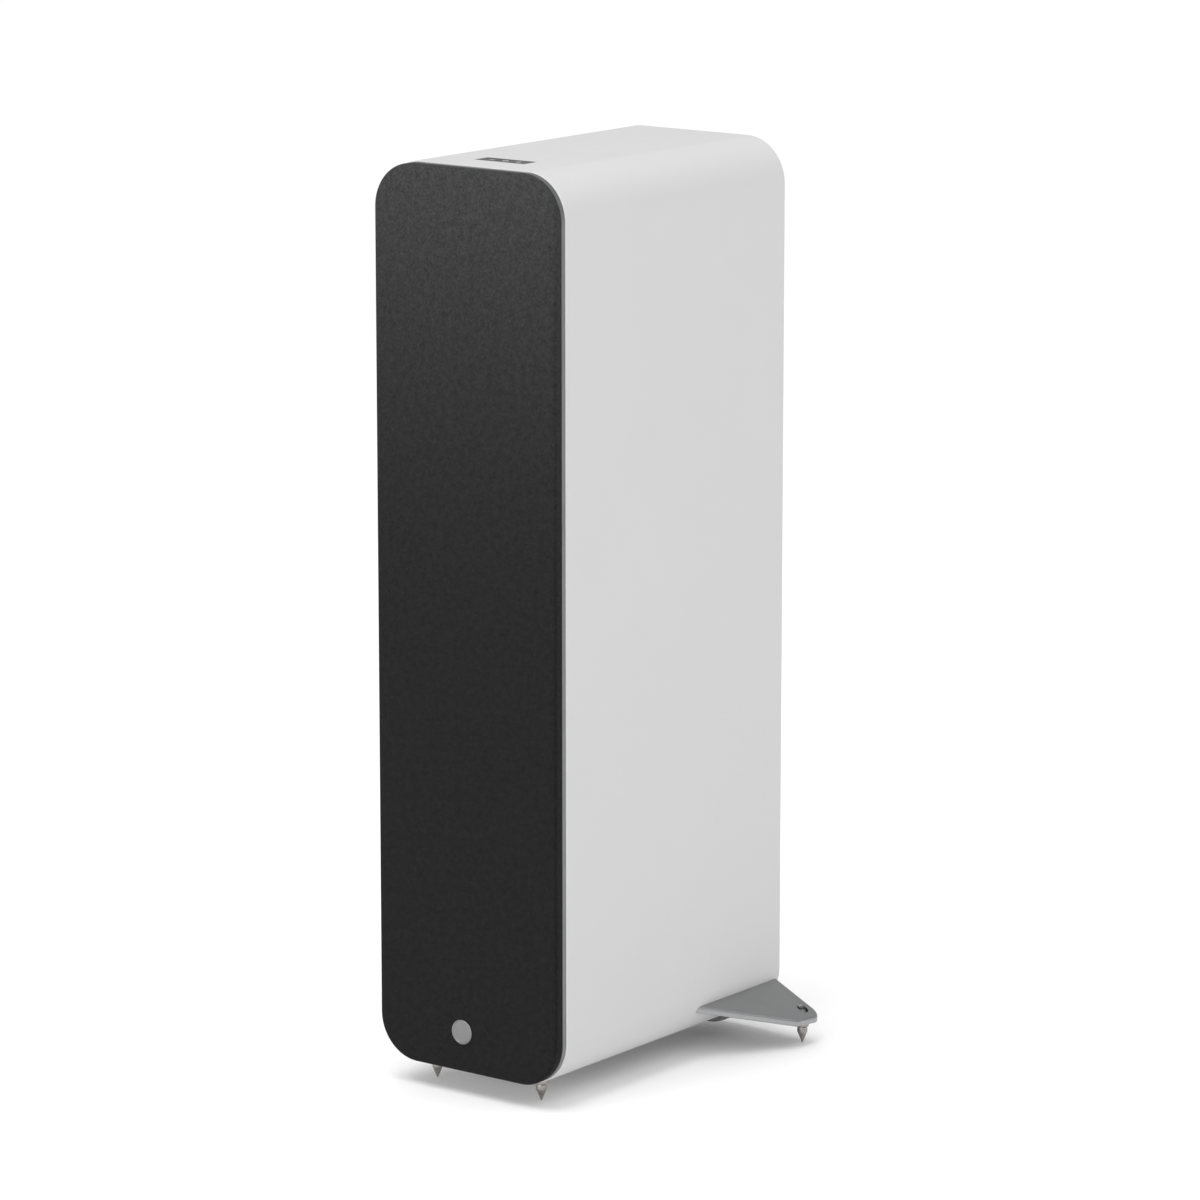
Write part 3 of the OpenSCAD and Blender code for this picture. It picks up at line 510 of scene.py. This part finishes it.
def make_cabinet():
    size = CABINET[1] - CABINET[0]
    y0, y1 = CABINET[0].y, CABINET[1].y
    turns = [math.pi / 2 * i / 4 for i in range(5)]
    arc = [(RIM_ROUND * (1 - math.sin(t)), RIM_ROUND * (1 - math.cos(t))) for t in turns]
    # front rim, outside, back rim, inside
    rings = [upright_ring(size, CORNER_R, inset, y0 + depth) for inset, depth in arc]
    rings += [upright_ring(size, CORNER_R, inset, y1 - depth) for inset, depth in reversed(arc)]
    for inset, y in ((WALL - RIM_CHAMFER, y1), (WALL, y1 - RIM_CHAMFER),
                     (WALL, y0 + RIM_CHAMFER), (WALL - RIM_CHAMFER, y0)):
        rings.append(upright_ring(size, CORNER_R, inset, y))
    obj = build("cabinet_sleeve", *loft(rings, loop=True))
    centre = (PANEL[0] + PANEL[1]) / 2
    pw, pd = PANEL[1].x - PANEL[0].x, PANEL[1].y - PANEL[0].y
    pocket = rounded_rect(pw + POCKET_GAP, pd + POCKET_GAP, POCKET_R, 5)
    cut(obj, prism("pocket", pocket, PANEL[0].z, PANEL[1].z + 2, centre.x, centre.y))
    hole = rounded_rect(pw - 4, pd - 4, 1, 3)
    cut(obj, prism("wire_hole", hole, PANEL[0].z - 12, PANEL[0].z + 1, centre.x, centre.y))
    shade(obj, 30)
    firm_normals(obj)
    place(obj, "lacquer", ROOT, ("cabinet",))


TRIM_W = 14.2        # how far the trim reaches in behind the grille


def make_trim():
    size = TRIM[1] - TRIM[0]
    r = CORNER_R - (CABINET[1].x - TRIM[1].x)
    front, back = TRIM[0].y, TRIM[1].y - 0.1
    rings = []
    for inset, y in ((TRIM_W, front), (0.5, front), (0.15, front + 0.15), (0, front + 0.5),
                     (0, back), (TRIM_W, back)):
        rings.append(upright_ring(size, r, inset, y))
    obj = build("front_trim_band", *loft(rings, loop=True))
    place(obj, "trim_silver", ROOT, ("front_trim",))


CLOTH_ROLL = 2.2     # radius of the cloth where it turns over the frame's edge
CLOTH_GAP = 0.4      # room between the cloth's back edge and the baffle
CLOTH_T = 0.5


def make_grille():
    size = CLOTH[1] - CLOTH[0]
    r = CORNER_R - (CABINET[1].x - CLOTH[1].x)
    back = BAFFLE_Y - CLOTH_GAP
    path = [(0.9, back), (0.1, back - 0.1), (0, back - 0.9), (0, back - 2)]
    for i in range(9):
        t = math.pi / 2 * i / 8
        path.append((CLOTH_ROLL * (1 - math.cos(t)), FRONT_Y + CLOTH_ROLL * (1 - math.sin(t))))
    path += [(inset, FRONT_Y) for inset in (6, 10, 16, 22, 28)]
    rings = [upright_ring(size, r, inset, y) for inset, y in path]
    verts, faces = loft(rings)
    last = (len(rings) - 1) * len(rings[0])
    faces.append(tuple(last + i for i in range(len(rings[0]))))
    obj = build("grille_cloth_skin", verts, faces, angle=60)
    solid = obj.modifiers.new("cloth", "SOLIDIFY")
    solid.thickness = CLOTH_T * MM
    solid.offset = -1
    settle(obj)
    shade(obj, 60)
    place(obj, "grille_cloth", "grille", ("grille_cloth",))


BADGE_RIM = 1.3      # width of the badge's raised rim


def make_badge():
    low, high = box_mm("badge")
    c = (low + high) / 2
    r = (high.x - low.x) / 2
    t = high.y - low.y
    face = r - BADGE_RIM
    profile = [(0, 0), (r - 0.15, 0), (r, 0.12), (r, t * 0.62), (r - 0.1, t * 0.86),
               (r - 0.35, t), (r - 0.95, t), (r - 1.15, t * 0.86), (face, t * 0.62)]
    for q in range(7, -1, -1):
        profile.append((q * face / 8, t * (0.62 + 0.16 * (1 - (q / 8) ** 2))))
    rings = [facing_front(ring, c.x, c.z, high.y) for ring in lathe(profile, 72)]
    obj = build("badge_disc", *loft(rings), angle=28)
    place(obj, "badge_metal", "grille", ("badge",))


# ------------------------------------------------------------------ drivers


def front_turn(line, t, z, steps):
    """A turned sheet of thickness t on an axis at height z, facing the front."""
    rings = [facing_front(ring, 0, z) for ring in lathe(thick(line, t), steps)]
    return loft(rings, loop=True)


# A woofer's profile: radii, and heights over the baffle's face.
LEDGE_Z = -3.0       # the basket's ledge, where the surround sits
RIM_Z = -5.4         # the cone's outer rim
RIM_R = 43           # where the cone stops curving
NECK_Z = -26.0       # the cone's neck
NECK_R = 13.1
CONE_CURVE = 0.85
SURROUND_T = 0.8
CONE_T = 1.0
ROLL_R = 50.3        # middle of the surround's half roll
ROLL_W = 4.6         # half its width
ROLL_RISE = 3.6
CAP_R = 17.0
CAP_RISE = 6.0
CAP_T = 0.7
SPIDER_R = 42.2
SPIDER_NECK_R = 13.15
SPIDER_Z = -33.1
SPIDER_DROP = 1.6
SPIDER_T = 0.5
SPIDER_WAVES = 5
SPIDER_WAVE = 0.8    # height of one wave
SPIDER_FLAT = 0.06   # share of the spider left flat at each edge
SPIDER_HELD = (-33.3, -34.7)  # heights where the basket and the coil hold it
COIL_H = 15          # the copper winding is shorter than this, its former longer
RING_MAGNET_W = 76   # the ring magnet is wider than this, its plates narrower


def cone_height(r):
    reach = max(0, (r - NECK_R) / (RIM_R - NECK_R))
    return NECK_Z + (RIM_Z - NECK_Z) * reach ** CONE_CURVE


def on_axis(height, z):
    """A point in metres on a driver's axis at height z, that high over the baffle."""
    return (0, (BAFFLE_Y - height) * MM, z * MM)


def thick(line, t):
    """A closed profile around a line of (radius, height) points, t thick underneath."""
    return line + [(r, h - t) for r, h in reversed(line)]


def surround_line():
    glue = LEDGE_Z + SURROUND_T + 0.1
    foot = RIM_Z + SURROUND_T + 0.1
    line = [(57.4, glue), (55.4, glue)]
    for i in range(25):
        a = math.pi * i / 24
        line.append((ROLL_R + ROLL_W * math.cos(a), glue + ROLL_RISE * math.sin(a)))
    for i in range(1, 6):
        q = i / 5
        line.append((ROLL_R - ROLL_W - 0.5 * q * q, glue + (foot - glue) * q))
    return line + [(44.6, foot), (43.2, foot - 0.05)]


def cone_line():
    radii = [RIM_R - (RIM_R - NECK_R) * i / 24 for i in range(25)]
    return [(46.0, RIM_Z)] + [(r, cone_height(r)) for r in radii]


def cap_line():
    base = cone_height(CAP_R)
    line = []
    for i in range(17):
        r = CAP_R * (1 - i / 16)
        line.append((r, base + 0.8 + CAP_RISE * (1 - (r / CAP_R) ** 2)))
    return line


def spider_line(steps=60):
    line = []
    for i in range(steps + 1):
        q = i / steps
        wave = 0.0
        if SPIDER_FLAT <= q <= 1 - SPIDER_FLAT:
            along = (q - SPIDER_FLAT) / (1 - 2 * SPIDER_FLAT)
            wave = SPIDER_WAVE * math.sin(TAU * SPIDER_WAVES * along)
        r = SPIDER_R - (SPIDER_R - SPIDER_NECK_R) * q
        line.append((r, SPIDER_Z - SPIDER_DROP * q + wave))
    return line


def make_woofer(which):
    low, high = box_mm(which + "_basket")
    z = (low.z + high.z) / 2
    mover = which + "_diaphragm"
    refined(which + "_basket", "basket_paint", ROOT, 0.5)

    obj = build(which + "_surround_roll", *front_turn(surround_line(), SURROUND_T, z, 120),
                angle=50)
    place(obj, "rubber", None, (which + "_surround",))
    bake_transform(obj, ROOT, mover, on_axis(LEDGE_Z, z), on_axis(RIM_Z, z))

    obj = build(which + "_cone_pulp", *front_turn(cone_line(), CONE_T, z, 120), angle=40)
    place(obj, "cone_pulp", mover, (which + "_cone",))

    obj = build(which + "_cap_dome", *front_turn(cap_line(), CAP_T, z, 96), angle=45)
    place(obj, "cone_pulp", mover, (which + "_dust_cap",))

    obj = build(which + "_spider_cloth", *front_turn(spider_line(), SPIDER_T, z, 120), angle=50)
    place(obj, "spider", None, (which + "_spider",))
    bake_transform(obj, ROOT, mover, on_axis(SPIDER_HELD[0], z), on_axis(SPIDER_HELD[1], z))

    refined(which + "_voice_coil", ["coil_copper", "tin"], mover, 0.0,
            pick=lambda lo, hi: 0 if hi.y - lo.y < COIL_H else 1)
    refined(which + "_magnet", ["ferrite", "tin"], ROOT, 0.6,
            pick=lambda lo, hi: 0 if hi.x - lo.x > RING_MAGNET_W else 1)


DOME_R = 11.0
DOME_RISE = 4.0
DOME_EDGE_Z = -5.4   # height of the dome's edge over the baffle's face
DOME_T = 0.35
HALF_ROLL_R = 12.15  # middle of the half roll around the dome


def make_tweeter():
    low, high = box_mm("tweeter_plate")
    z = (low.z + high.z) / 2
    refined("tweeter_plate", "moulded_black", ROOT, 0.35)
    refined("tweeter_magnet", "ferrite", ROOT, 0.5)
    line = [(13.4, DOME_EDGE_Z), (13.1, DOME_EDGE_Z)]
    for i in range(1, 12):
        a = math.pi * i / 12
        line.append((HALF_ROLL_R + 0.95 * math.cos(a), DOME_EDGE_Z + 0.85 * math.sin(a)))
    for i in range(17):
        r = DOME_R * (1 - i / 16)
        line.append((r, DOME_EDGE_Z + DOME_RISE * (1 - (r / DOME_R) ** 2)))
    obj = build("tweeter_dome_silk", *front_turn(line, DOME_T, z, 96), angle=45)
    place(obj, "dome_silk", "tweeter_diaphragm", ("tweeter_dome",))


# ------------------------------------------------------------------ top controls


MARK_T = 0.05        # thickness of a printed mark


def icon(name, shapes, body, at, top):
    """Printed mark on a key: thin slabs joined into one piece."""
    slabs = [[[(at[0] + x, at[1] + y, z) for x, y in outline] for z in (top - MARK_T, top)]
             for outline in shapes]
    place(joined(name, slabs), "icon_white", body)


def bar(w, h, cx=0.0, cy=0.0):
    return [(cx + sx * w / 2, cy + sy * h / 2) for sx, sy in ((1, 1), (-1, 1), (-1, -1), (1, -1))]


def arc_band(r, width, a0, a1, steps=20):
    points = []
    angles = [math.radians(a0 + (a1 - a0) * i / steps) for i in range(steps + 1)]
    for reach, order in ((r + width / 2, angles), (r - width / 2, angles[::-1])):
        points += [(reach * math.cos(a), reach * math.sin(a)) for a in order]
    return points


def make_controls():
    refined("control_panel", "panel_grey", ROOT, 0.25)
    keys = {
        "volume_down_button": ("volume_down_key", [bar(4.2, 0.8)]),
        "source_button": ("source_key", [arc_band(1.9, 0.7, 120, 420), bar(0.7, 2.6, 0, 1.5)]),
        "volume_up_button": ("volume_up_key", [bar(4.2, 0.8), bar(0.8, 1.7, 0, 1.25),
                                               bar(0.8, 1.7, 0, -1.25)]),
    }
    for node, (body, shapes) in keys.items():
        refined(node, "key_grey", body, 0.3)
        low, high = box_mm(node)
        icon(node.replace("_button", "_mark"), shapes, body,
             ((low.x + high.x) / 2, (low.y + high.y) / 2), high.z + 0.03)
    refined("status_lens", "lens", ROOT, 0.15)
    obj = refined("control_board", ["solder_mask", "component"], ROOT, 0.1)
    board_top = box_mm("control_board")[0].z + BOARD_T
    assign_by_place(obj.data, lambda p: 1 if p.z > board_top + 0.05 else 0)


# ------------------------------------------------------------------ back panel


# Plain bars in place of legends: middle across, height, and width.
PANEL_MARKS = ((-27, 398, 30), (4, 398, 8), (34, 398, 10),
               (-32, 433, 12), (0, 433, 16), (32, 433, 16), (0, 344.5, 60),
               (-32, 414.5, 5), (0, 414.5, 5), (32, 414.5, 5))
PANEL_MARK_H = 0.5


def make_back():
    refined("rear_board", "lacquer", ROOT, 0.6)
    refined("reflex_port", "moulded_black", ROOT, 0.5, 3)
    refined("amp_panel", "panel_powder", ROOT, 0.35)
    refined("mains_inlet", ["moulded_black", "tin"], ROOT, 0.3,
            pick=lambda lo, hi: 1 if hi.x - lo.x < 5 else 0)
    refined("power_rocker", "moulded_black", "rocker", 0.35)
    refined("line_jacks", ["gold", "switch_white"], ROOT, 0.15,
            pick=lambda lo, hi: 1 if 12 < hi.y - lo.y < 13 and hi.x < -8 else 0)
    refined("optical_socket", "moulded_black", ROOT, 0.25)
    refined("pairing_button", "key_grey", "pairing_key", 0.3)
    refined("placement_slider", "switch_white", "placement_knob", 0.2)
    refined("channel_slider", "switch_white", "channel_knob", 0.2)
    refined("post_bases", "gold", ROOT, 0.2)
    for c in ("red", "black"):
        refined(c + "_post_nut", "gold", c + "_nut", 0.15)
        refined(c + "_post_cap", "cap_" + c, c + "_cap", 0.25)
    refined("screws", "black_oxide", ROOT, 0.2)
    face = box_mm("amp_panel")[1].y
    slabs = [[[(x, y, z) for x, z in bar(w, PANEL_MARK_H, cx, cz)]
              for y in (face - MARK_T, face + MARK_T)] for cx, cz, w in PANEL_MARKS]
    place(joined("panel_print", slabs), "icon_white", ROOT)


def make_boards():
    """Green boards, with black parts, bright cans and heat sinks, and a taped transformer."""
    kinds = ["solder_mask", "component", "tin", "winding_tape"]
    amp = refined("amp_board", kinds, ROOT, 0.2)
    face = BACK_Y - 14.4

    def amp_part(p):
        if p.y > face + 0.05:
            return 1
        if p.y > face - BOARD_T - 0.05:
            return 0
        return 2

    assign_by_place(amp.data, amp_part)
    supply = refined("power_supply", kinds, ROOT, 0.2)
    low, high = box_mm("power_supply")
    plate = high.y - BOARD_T - 0.05

    def supply_part(p):
        up = p.z - low.z
        if p.y > plate:
            return 0
        if 37.9 < up < 74.1 and -24.1 < p.x < 14.1 and not (44 < up < 68 and p.x < -20):
            return 3
        return 2 if up < 27 and p.x < 0 or up > 80 and p.y < plate - 27 else 1

    assign_by_place(supply.data, supply_part)


def make_inside():
    for node, material, slot in (
            ("front_baffle", "baffle_paint", "baffle_paint"),
            ("braces", "raw_board", "raw_board"),
            ("amp_chamber", "raw_board", "raw_board"),
            ("baffle_magnets", "nickel", "magnet_plating"),
            ("wiring", "cable", "cable")):
        refined(node, material, ROOT, 0.3 if node != "wiring" else 0.0)
    refined("grille_frame", "moulded_black", "grille", 0.6)
    refined("grille_magnets", "nickel", "grille", 0.2)


def puffed(name, low, high, seed):
    """A loose block of wadding: a subdivided box whose faces swell and ripple."""
    work = bmesh.new()
    bmesh.ops.create_cube(work, size=1.0)
    bmesh.ops.subdivide_edges(work, edges=work.edges, cuts=14, use_grid_fill=True)
    centre, half = (low + high) / 2, (high - low) / 2
    for v in work.verts:
        p = Vector([v.co[i] * 2 for i in range(3)])
        q = Vector([math.copysign(1 - (1 - abs(c)) ** 1.6, c) for c in p])
        ripple = sum(math.sin((3 + k) * p[k % 3] * 2.2 + seed + k * 1.7) for k in range(5)) / 5
        shrink = 0.93 + 0.05 * ripple
        v.co = Vector([centre[i] + half[i] * q[i] * shrink for i in range(3)]) * MM
    mesh = bpy.data.meshes.new(name)
    work.to_mesh(mesh)
    work.free()
    obj = bpy.data.objects.new(name, mesh)
    bpy.context.collection.objects.link(obj)
    shade(obj, 80)
    return obj


WADDING_X = 62       # half the width of both blocks
WADDING_FLOOR = (-112, 112, 40)         # front, back and thickness
WADDING_BACK = (97.4, 118.4, 606, 681)  # front, back, bottom and top


def make_wadding():
    y0, y1, rise = WADDING_FLOOR
    bottom = box_mm("damping_wadding")[0].z
    floor = puffed("wadding_floor", Vector((-WADDING_X, y0, bottom)),
                   Vector((WADDING_X, y1, bottom + rise)), 0.3)
    y0, y1, z0, z1 = WADDING_BACK
    back = puffed("wadding_back", Vector((-WADDING_X, y0, z0)), Vector((WADDING_X, y1, z1)), 1.9)
    for obj, replaced in ((floor, ("damping_wadding",)), (back, ())):
        place(obj, "wadding", ROOT, replaced)


# ------------------------------------------------------------------ feet


FRONT_STUD_TOP = 29.0
REAR_STUD_TOP = 26.0
COLLAR_TOP = 13.2    # where the solid spike ends and its thread begins
STUD_R = 2.93
THREAD_TURN = 1.0    # height of one turn
THREAD_DEPTH = 0.42
THREAD_STEP = 0.125
THREAD_FADE = 0.6    # length over which the thread starts, and plain length at the top
HEX_R = 1.55         # the hexagon socket, from its middle to a corner
HEX_DEPTH = 3.0


def thread_radius(height, angle):
    """Radius of the thread there: its crests wind up around the upright axis."""
    phase = (height / THREAD_TURN - angle / TAU) % 1.0
    return STUD_R - THREAD_DEPTH * abs(2 * phase - 1)


def hexagon(angles):
    points = []
    for a in angles:
        reach = HEX_R * math.cos(math.pi / 6) / math.cos((a % (math.pi / 3)) - math.pi / 6)
        points.append((reach * math.cos(a), reach * math.sin(a)))
    return points


def make_spike(node, body, stud_top):
    low, high = box_mm(node)
    cx, cy = (low.x + high.x) / 2, (low.y + high.y) / 2
    steps = 48
    angles = [TAU * i / steps for i in range(steps)]
    solid = [(0, 0), (0.28, 0.02), (0.5, 0.35)]
    solid += [(0.5 + 3.5 * i / 6, 0.35 + 8.45 * i / 6) for i in range(1, 7)]
    solid += [(4.0, 9.1), (4.0, 12.5), (3.9, 12.85), (3.55, 13.15), (2.95, COLLAR_TOP)]
    rings = lathe(solid, steps)
    z = COLLAR_TOP
    while z < stud_top - THREAD_FADE:
        fade = min(1, (z - COLLAR_TOP) / THREAD_FADE)
        ring = []
        for a in angles:
            r = thread_radius(z, a) * fade + STUD_R * (1 - fade)
            ring.append((r * math.cos(a), r * math.sin(a), z))
        rings.append(ring)
        z += THREAD_STEP
    rings += lathe([(2.5, stud_top - 0.5), (2.3, stud_top - 0.1), (2.15, stud_top)], steps)
    for scale, height in ((1.08, stud_top), (1, stud_top - 0.15), (1, stud_top - HEX_DEPTH)):
        rings.append([(x * scale, y * scale, height) for x, y in hexagon(angles)])
    rings += lathe([(0, stud_top - HEX_DEPTH - 0.4)], steps)
    rings = [[(cx + x, cy + y, z) for x, y, z in ring] for ring in rings]
    obj = build(node + "_turned", *loft(rings), angle=28)
    place(obj, "turned_metal", body, (node,))


BOSS_R = 7.5         # radius of the wing's boss around its spike
WING_ROUND = 1.6     # rounding of the wing's rim


def make_stabiliser(side):
    """The cast wing, its rim rounded between the two sloping faces."""
    obj = refined(side + "_stabiliser", "cast_alloy", ROOT, 0)
    low, high = box_mm(f"rear_{side}_spike")
    boss = (low + high) / 2
    work = bmesh.new()
    work.from_mesh(obj.data)
    work.normal_update()
    rim = []
    for edge in work.edges:
        if len(edge.link_faces) != 2:
            continue
        steep, flat = sorted(abs(f.normal.z) for f in edge.link_faces)
        middle = (edge.verts[0].co + edge.verts[1].co) / 2 / MM
        from_boss = math.hypot(middle.x - boss.x, middle.y - boss.y)
        outside = abs(middle.x) > CABINET[1].x + 0.5
        if steep < 0.1 and 0.8 < flat < 0.95 and from_boss > BOSS_R + 0.4 and outside:
            rim.append(edge)
    bmesh.ops.bevel(work, geom=rim, offset=WING_ROUND * MM, segments=5, profile=0.5,
                    affect="EDGES", clamp_overlap=False)
    bmesh.ops.recalc_face_normals(work, faces=work.faces)
    work.to_mesh(obj.data)
    work.free()
    shade(obj, 30)
    firm_normals(obj)


def make_feet():
    for side in ("left", "right"):
        make_stabiliser(side)
        make_spike(f"front_{side}_spike", f"front_{side}_foot", FRONT_STUD_TOP)
        make_spike(f"rear_{side}_spike", f"rear_{side}_foot", REAR_STUD_TOP)
    refined("lock_nuts_and_inserts", "turned_metal", ROOT, 0.35)


# ------------------------------------------------------------------ stage

FLOOR_SIZE = 80
SKY_GLOW = 0.55
SUN_POWER = 1.55
SUN_SPREAD = 50      # degrees
SUN_AIM = (0.1, 0.14, -1)
# Soft panels: name, place, aim, size and watts.
PANELS = (
    ("right_panel", (2.4, -0.3, 2.8), (0, 0, 0.4), (2.2, 2.0), 22),
    ("corner_panel", (1.6, -3.0, 1.5), (0, 0, 0.4), (2.0, 2.2), 8),
    ("low_panel", (-0.4, -2.3, 0.5), (0, 0, 0.05), (2.0, 0.6), 15),
    ("front_panel", (0.1, -1.1, 1.75), (0, -0.1, 0.62), (0.9, 0.5), 3.2),
)


def make_stage():
    bpy.ops.mesh.primitive_plane_add(size=FLOOR_SIZE, location=(0, 0, 0))
    floor = bpy.context.object
    floor.name = "studio_floor"
    floor.data.materials.append(MATERIALS["studio_floor"])
    world = bpy.data.worlds.new("studio")
    world.use_nodes = True
    background = world.node_tree.nodes["Background"]
    background.inputs["Color"].default_value = (1.0, 1.0, 1.0, 1.0)
    background.inputs["Strength"].default_value = SKY_GLOW
    bpy.context.scene.world = world
    sun = bpy.data.lights.new("sky_panel", "SUN")
    sun.energy = SUN_POWER
    sun.angle = math.radians(SUN_SPREAD)
    sky = bpy.data.objects.new("sky_panel", sun)
    bpy.context.collection.objects.link(sky)
    sky.rotation_mode = "QUATERNION"
    sky.rotation_quaternion = Vector(SUN_AIM).to_track_quat("-Z", "Y")
    for panel in PANELS:
        area_light(*panel)
    settings = bpy.context.scene.view_settings
    settings.view_transform = "Standard"
    settings.look = "None"


make_camera()
make_materials()
make_stage()
make_cabinet()
make_trim()
make_grille()
make_badge()
make_woofer("upper")
make_woofer("lower")
make_tweeter()
make_controls()
make_back()
make_inside()
make_boards()
make_wadding()
make_feet()
